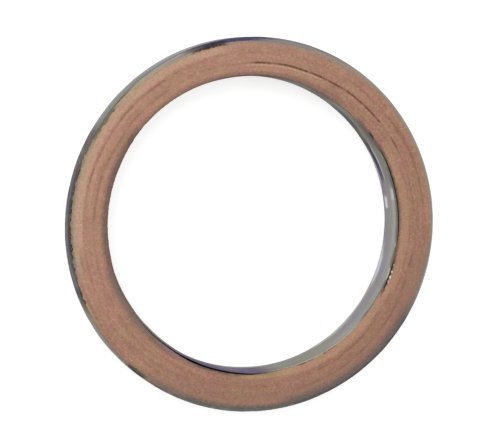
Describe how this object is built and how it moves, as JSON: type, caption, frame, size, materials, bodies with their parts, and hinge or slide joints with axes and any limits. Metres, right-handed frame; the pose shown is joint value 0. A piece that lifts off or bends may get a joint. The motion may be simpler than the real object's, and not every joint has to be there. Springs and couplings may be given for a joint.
{
  "type": "exhaust port gasket",
  "caption": "Round exhaust port gasket: a wound fibre packing ring pressed into a U-shaped sheet steel jacket, open on its fibre face.",
  "frame": {"origin": "centre of the ring, on the plane of its steel underside", "axes": "+Z along the ring's axis, out of the fibre face; the inner end of the wound strip lies at 334 degrees from +X, anticlockwise seen from above"},
  "size_m": [0.048, 0.048, 0.005],
  "materials": {
    "jacket_steel": "smooth tinned sheet with a soft sheen, a little stained",
    "packing_fibre": "matt pinkish brown pressed fibre, wound in turns"
  },
  "bodies": {
    "root": {"steel_jacket": "jacket_steel", "fibre_packing": "packing_fibre"}
  },
  "joints": []
}
